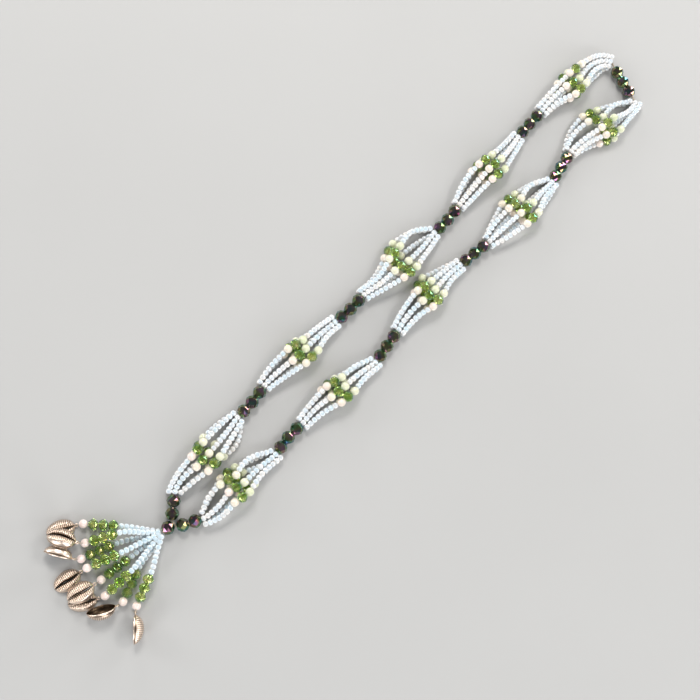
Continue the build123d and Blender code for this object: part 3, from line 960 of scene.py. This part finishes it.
def half_section(wide, high, slit, ribbed_from):
    """Half of the shell's section as (x, z, rib share, painted shade share) round a closed ring."""
    crest, wall, curl = CREST * wide, min(WALL, WALL_SHARE * wide), CURL * high
    ring = []
    for deg in OUTSIDE:
        a = math.radians(deg)
        rib = min(1.0, max(0.0, (deg - ribbed_from) / RIB_RAMP))
        if deg <= 90:
            x, z = crest + (wide - crest) * math.cos(a), high * math.sin(a)
            painted_dark = math.exp(-(((deg - RIM_AT) / RIM_WIDTH) ** 2))
        else:
            x, z = crest + (crest - slit) * math.cos(a), high - curl * (1 - math.sin(a))
            painted_dark = max(0.0, (deg - RECESS_FROM) / RECESS_RAMP)
        ring.append((x, z, rib, min(1.0, painted_dark)))
    for deg in INSIDE:
        a = math.radians(deg)
        if deg <= 90:
            x, z = crest + (wide - wall - crest) * math.cos(a), (high - wall) * math.sin(a)
        else:
            x = crest + (crest - slit) * math.cos(a) + wall * 0.5 * math.sin(a)
            z = high - wall - curl * (1 - math.sin(a))
        ring.append((x, z, 0.0, 1.0))
    ring.append((wide - wall * 0.6, -RIM_LIFT, 0.0, 0.6))
    ring.append((wide - wall * 0.2, -RIM_LIFT, 0.0, 0.0))
    return ring


def charm_half(build, layer, side):
    """One lip of the shell, from tip to tip, with its flank and its inside."""
    rings = []
    for i in range(CHARM_STEPS + 1):
        turn = math.pi * (TIP_SKIP + (1 - 2 * TIP_SKIP) * i / CHARM_STEPS)
        t = 0.5 - 0.5 * math.cos(turn)
        if t < charm_front:
            a = (charm_front - t) / charm_front
        else:
            a = (t - charm_front) / (1 - charm_front)
        radius = charm_w / 2 * math.sqrt(max(0.0, 1 - a * a))
        wide = math.sqrt(max(0.01, radius * radius - charm_rim * charm_rim))
        high = max(0.1, radius - charm_rim)
        sway = SWAY * wide * math.sin(2 * math.pi * t)
        slit = SLIT_ENDS + (SLIT_MIDDLE - SLIT_ENDS) * math.sin(math.pi * t)
        slit *= min(1.0, wide / SLIT_FULL)
        fade = min(1.0, max(0.0, (t - RIB_FROM) / RIB_FADE))
        fade *= min(1.0, max(0.0, (RIB_TO - t) / RIB_FADE))
        phase = CHARM_RIBS * (t - RIB_FROM) / RIB_SPAN + (0.5 if side > 0 else 0.0)
        groove = (0.5 + 0.5 * math.cos(2 * math.pi * phase)) ** 1.6 * fade
        ring = []
        for x, z, rib, painted_dark in half_section(wide, high, slit, RIBBED_FROM[side]):
            near = max(0.0, 1 - x / (0.8 * wide))
            cut = rib_depth * groove * rib
            place = (
                side * x + sway * near,
                charm_tip - t * charm_len,
                z - charm_back - cut + RIM_LIFT,
            )
            # The stored value is painted shade: the slit, the inside, a line along the rim and the
            # grooves
            ring.append(new_vert(build, place, layer, min(1.0, painted_dark + GROOVE_PAINTED_SHADE * groove * rib)))
        rings.append(ring)
    join_rings(build, rings)
    build.faces.new(rings[0])
    build.faces.new(rings[-1])


def charm_mesh():
    """Cast shell: ribbed lips over a curved slit, a rolled rim, a back that is open underneath
    and an eye, each point storing how much painted shade it takes.
    """
    build, layer = new_build("painted_shade")
    for side in (-1, 1):
        charm_half(build, layer, side)
    add_ring(build, layer, Matrix.Identity(4), eye_r, eye_wire, 0.1)
    return built_mesh(build, "shell", METAL, MM)


def charm_place(name):
    """Where a charm's own frame lies, its eye at the origin."""
    turned = Matrix.Identity(4)
    for angle, axis in zip(CHARMS[name], "ZXY"):
        turned = turned @ Matrix.Rotation(math.radians(angle), 4, axis)
    return Matrix.Translation(at(charm_eye(name))) @ turned


shell = charm_mesh()
for name in CHARMS:
    piece = mesh_object("shell_" + name, shell)
    piece.matrix_world = charm_place(name)
    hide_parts("charm_" + name)
    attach(piece, "root")

# Lanterns
for name in LANTERNS:
    found = strands(name)
    lines = curve_points([run for runs, _, _ in found for run in runs])
    build, layer = new_build()
    for line in lines:
        shade = dice.uniform(*LANTERN_SEEDS)
        string_seeds(build, layer, line, pearl_d / 2 * MM, line_length(line), shade)
    finish_build(build, "seeds_" + name, SEED, "lantern_" + name)
    build, layer = new_build()
    for _, (low_pearl, high_pearl), way in found:
        # Painted light tints: warm light on the low pearl, green light through the crystal on the
        # high pearl
        add_pearl(build, layer, low_pearl, (*way, 0), dice.gauss(*LOW_PEARLS_PAINTED_WARM_LIGHT))
        add_pearl(build, layer, high_pearl, (*way, 0), dice.gauss(*HIGH_PEARLS_PAINTED_GREEN_LIGHT))
    finish_build(build, "pearls_" + name, PEARL, "lantern_" + name)
    build, layer = new_build()
    for low, high in zip(lines[::2], lines[1::2]):
        add_cord(build, layer, low[::-1] + high, cord_d * MM)
    finish_build(build, "cord_" + name, THREAD, "lantern_" + name)

# Fringe: the seed runs start close to the join bead, inside the knot
apex = row("join_bead")[1][0]
routes = []
for name in FRINGE:
    points = fringe(name)[0]
    start = add(apex, downward(FRINGE[name][0]), 0.15 * knot_r)
    routes.append([(*start, points[0][2]), *points])
for name, line in zip(FRINGE, curve_points(routes)):
    pearl, step = fringe(name)[1:]
    build, layer = new_build()
    string_seeds(build, layer, line, 0.0, line_length(line), dice.uniform(*FRINGE_SEEDS))
    finish_build(build, "fringe_seeds_" + name, SEED, "fringe_" + name)
    build, layer = new_build()
    add_pearl(build, layer, pearl, step, dice.gauss(*FRINGE_PEARLS))
    finish_build(build, "fringe_pearl_" + name, PEARL, "fringe_" + name)
    build, layer = new_build()
    place = charm_place(name)
    loop = place @ Matrix.Translation((0, loop_shift * MM, 0))
    loop = loop @ Matrix.Rotation(math.pi / 2, 4, "Y")
    add_ring(build, layer, loop, loop_r * MM, loop_wire * MM, 0.5)
    far_side = place @ Vector((0, (loop_shift + loop_r) * MM, 0))
    add_cord(build, layer, [*line, at(pearl), far_side], cord_d * MM)
    finish_build(build, "fringe_cord_" + name, THREAD, "fringe_" + name)
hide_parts("knot")

# Crystals, dark beads and their thread keep the solids' shape and take a material by name
NODE_LOOKS = {
    ("crystals", "fringe_crystals"): GREEN,
    ("spacer", "leg", "join"): DARK,
    ("thread",): THREAD,
}
for name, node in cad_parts.items():
    for starts, look in NODE_LOOKS.items():
        if name.startswith(starts):
            node.data.materials.clear()
            node.data.materials.append(look)

# Floor
bpy.ops.mesh.primitive_plane_add(size=6, location=(0, 0, 0))
floor = bpy.context.object
floor.name = "floor"
floor.data.materials.append(floor_material())

# Camera: over the middle of the picture, leaning 13 degrees, the loop rising to the right
DISTANCE = 0.9
LEAN, ROLL = math.radians(13.0), math.radians(44.0)
SENSOR = 36.0  # mm
FOCAL, PICTURE = 1250, 700  # pixels
ahead = Vector((0, math.sin(LEAN), -math.cos(LEAN)))
rise_way = Vector((0, math.cos(LEAN), math.sin(LEAN)))
picture_right = rise_way * math.cos(ROLL) + Vector((math.sin(ROLL), 0, 0))
picture_up = rise_way * math.sin(ROLL) - Vector((math.cos(ROLL), 0, 0))
camera = bpy.data.objects.new("camera", bpy.data.cameras.new("camera"))
bpy.context.scene.collection.objects.link(camera)
camera.data.sensor_width = SENSOR
camera.data.lens = SENSOR * FOCAL / PICTURE
camera.data.clip_start, camera.data.clip_end = 0.01, 20
turned = Matrix((picture_right, picture_up, -ahead)).transposed().to_4x4()
camera.matrix_world = Matrix.Translation(OFFSET - ahead * DISTANCE) @ turned
bpy.context.scene.camera = camera

# Lights, all aimed at the origin: three large ones, a low ring that lifts the beads' edges and
# a ring of small ones that glint in the facets
WARM, COOL, WHITE = (1.0, 0.98, 0.95), (0.93, 0.97, 1.0), (1.0, 1.0, 1.0)
RING = 1.1
EDGES, GLINTS = 6, 12


def area_light(name, place, size, power, colour):
    light = bpy.data.lights.new(name, "AREA")
    light.size = size
    light.energy = power
    light.color = colour
    holder = bpy.data.objects.new(name, light)
    bpy.context.scene.collection.objects.link(holder)
    holder.location = place
    holder.rotation_euler = (-Vector(place)).to_track_quat("-Z", "Y").to_euler()


def on_ring(turn, height):
    """A place on the ring, the turn as a share of it."""
    angle = 2 * math.pi * turn
    return RING * math.cos(angle), RING * math.sin(angle), height


area_light("key", (-0.8, 0.5, 1.4), 0.5, 17, WARM)
area_light("window", (0.5, 0.9, 1.3), 0.4, 7, WARM)
area_light("fill", (1.1, -0.6, 1.2), 0.9, 6, COOL)
for i in range(EDGES):
    area_light(f"edge_{i + 1}", on_ring((i + 0.5) / EDGES, 0.34), 0.3, 3.4, WHITE)
for i in range(GLINTS):
    spot = on_ring((i + 0.3) / GLINTS, 0.75 + 0.3 * (i % 3))
    area_light(f"glint_{i + 1}", spot, 0.04, 0.9, WHITE)
world = bpy.data.worlds.new("world")
bpy.context.scene.world = world
bpy.context.scene.view_settings.view_transform = "Standard"
world.use_nodes = True
set_inputs(world.node_tree.nodes["Background"], {"Color": (0.84, 0.86, 0.89, 1), "Strength": 0.24})
